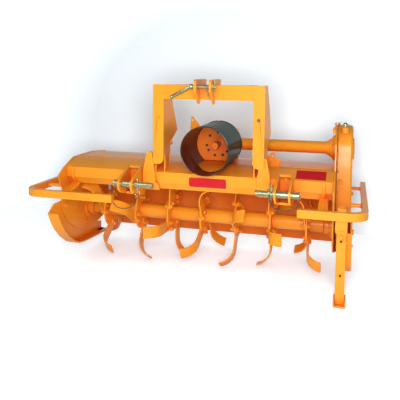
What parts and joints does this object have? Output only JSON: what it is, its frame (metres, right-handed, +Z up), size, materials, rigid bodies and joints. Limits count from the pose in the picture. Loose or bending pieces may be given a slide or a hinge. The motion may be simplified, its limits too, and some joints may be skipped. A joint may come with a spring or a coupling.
{
  "type": "rotary tiller",
  "caption": "Three-point-hitch rotary tiller with portal hitch tower, side gear case, bladed rotor under a deck hood, side guards, skids and a parking leg.",
  "frame": {"origin": "on the floor under the middle of the whole machine's bounding box", "axes": "+X to the machine's right as seen from the tractor, +Y to the rear, +Z up; the hitch side faces -Y"},
  "size_m": [1.718, 0.747, 1.009],
  "materials": {
    "orange_paint": "gloss",
    "yellow_zinc": "satin",
    "shield_plastic": "gloss",
    "lanyard_plastic": "matte"
  },
  "bodies": {
    "frame": {"front_beam": "orange_paint", "hood_deck": "orange_paint", "side_plate_left": "orange_paint", "side_plate_right": "orange_paint", "hitch_upright_left": "orange_paint", "hitch_upright_right": "orange_paint", "hitch_crossbar": "orange_paint", "top_link_lugs": "orange_paint", "front_gussets": "orange_paint", "stay_lugs": "orange_paint", "lower_hitch_brackets": "orange_paint", "gearbox": "orange_paint", "drive_tube": "orange_paint", "gear_case": "orange_paint", "rotor_bearings": "orange_paint", "skids": "orange_paint", "guard_left": "orange_paint", "guard_right": "orange_paint", "guard_mounts": "orange_paint", "leg_sleeve": "orange_paint", "top_link_pin": "yellow_zinc", "top_pin_handle": "yellow_zinc", "lower_hitch_pins": "yellow_zinc", "linch_pins": "yellow_zinc", "lanyard_left": "lanyard_plastic", "lanyard_right": "lanyard_plastic", "pto_shield": "shield_plastic"},
    "rotor": {"rotor_reel": "orange_paint", "rotor_journals": "orange_paint"},
    "input_shaft": {"pto_shaft": "orange_paint"},
    "rear_board": {"rear_board": "orange_paint"},
    "leg": {"parking_leg": "orange_paint", "leg_foot": "orange_paint"}
  },
  "joints": [
    {"name": "rotor_spin", "type": "hinge", "parent": "frame", "child": "rotor", "pos_m": [0.008, 0.047, 0.262], "axis": [1, 0, 0], "continuous": true},
    {"name": "pto_spin", "type": "hinge", "parent": "frame", "child": "input_shaft", "pos_m": [0.097, 0.013, 0.664], "axis": [0, -1, 0], "continuous": true},
    {"name": "rear_board_swing", "type": "hinge", "parent": "frame", "child": "rear_board", "pos_m": [0.008, 0.322, 0.412], "axis": [1, 0, 0], "range_deg": [0, 70]},
    {"name": "leg_slide", "type": "slide", "parent": "frame", "child": "leg", "axis": [0, 0, 1], "range_m": [0, 0.12]}
  ],
  "couplings": [
    {"joint": "pto_spin", "follows": "rotor_spin", "ratio": 2.5}
  ]
}
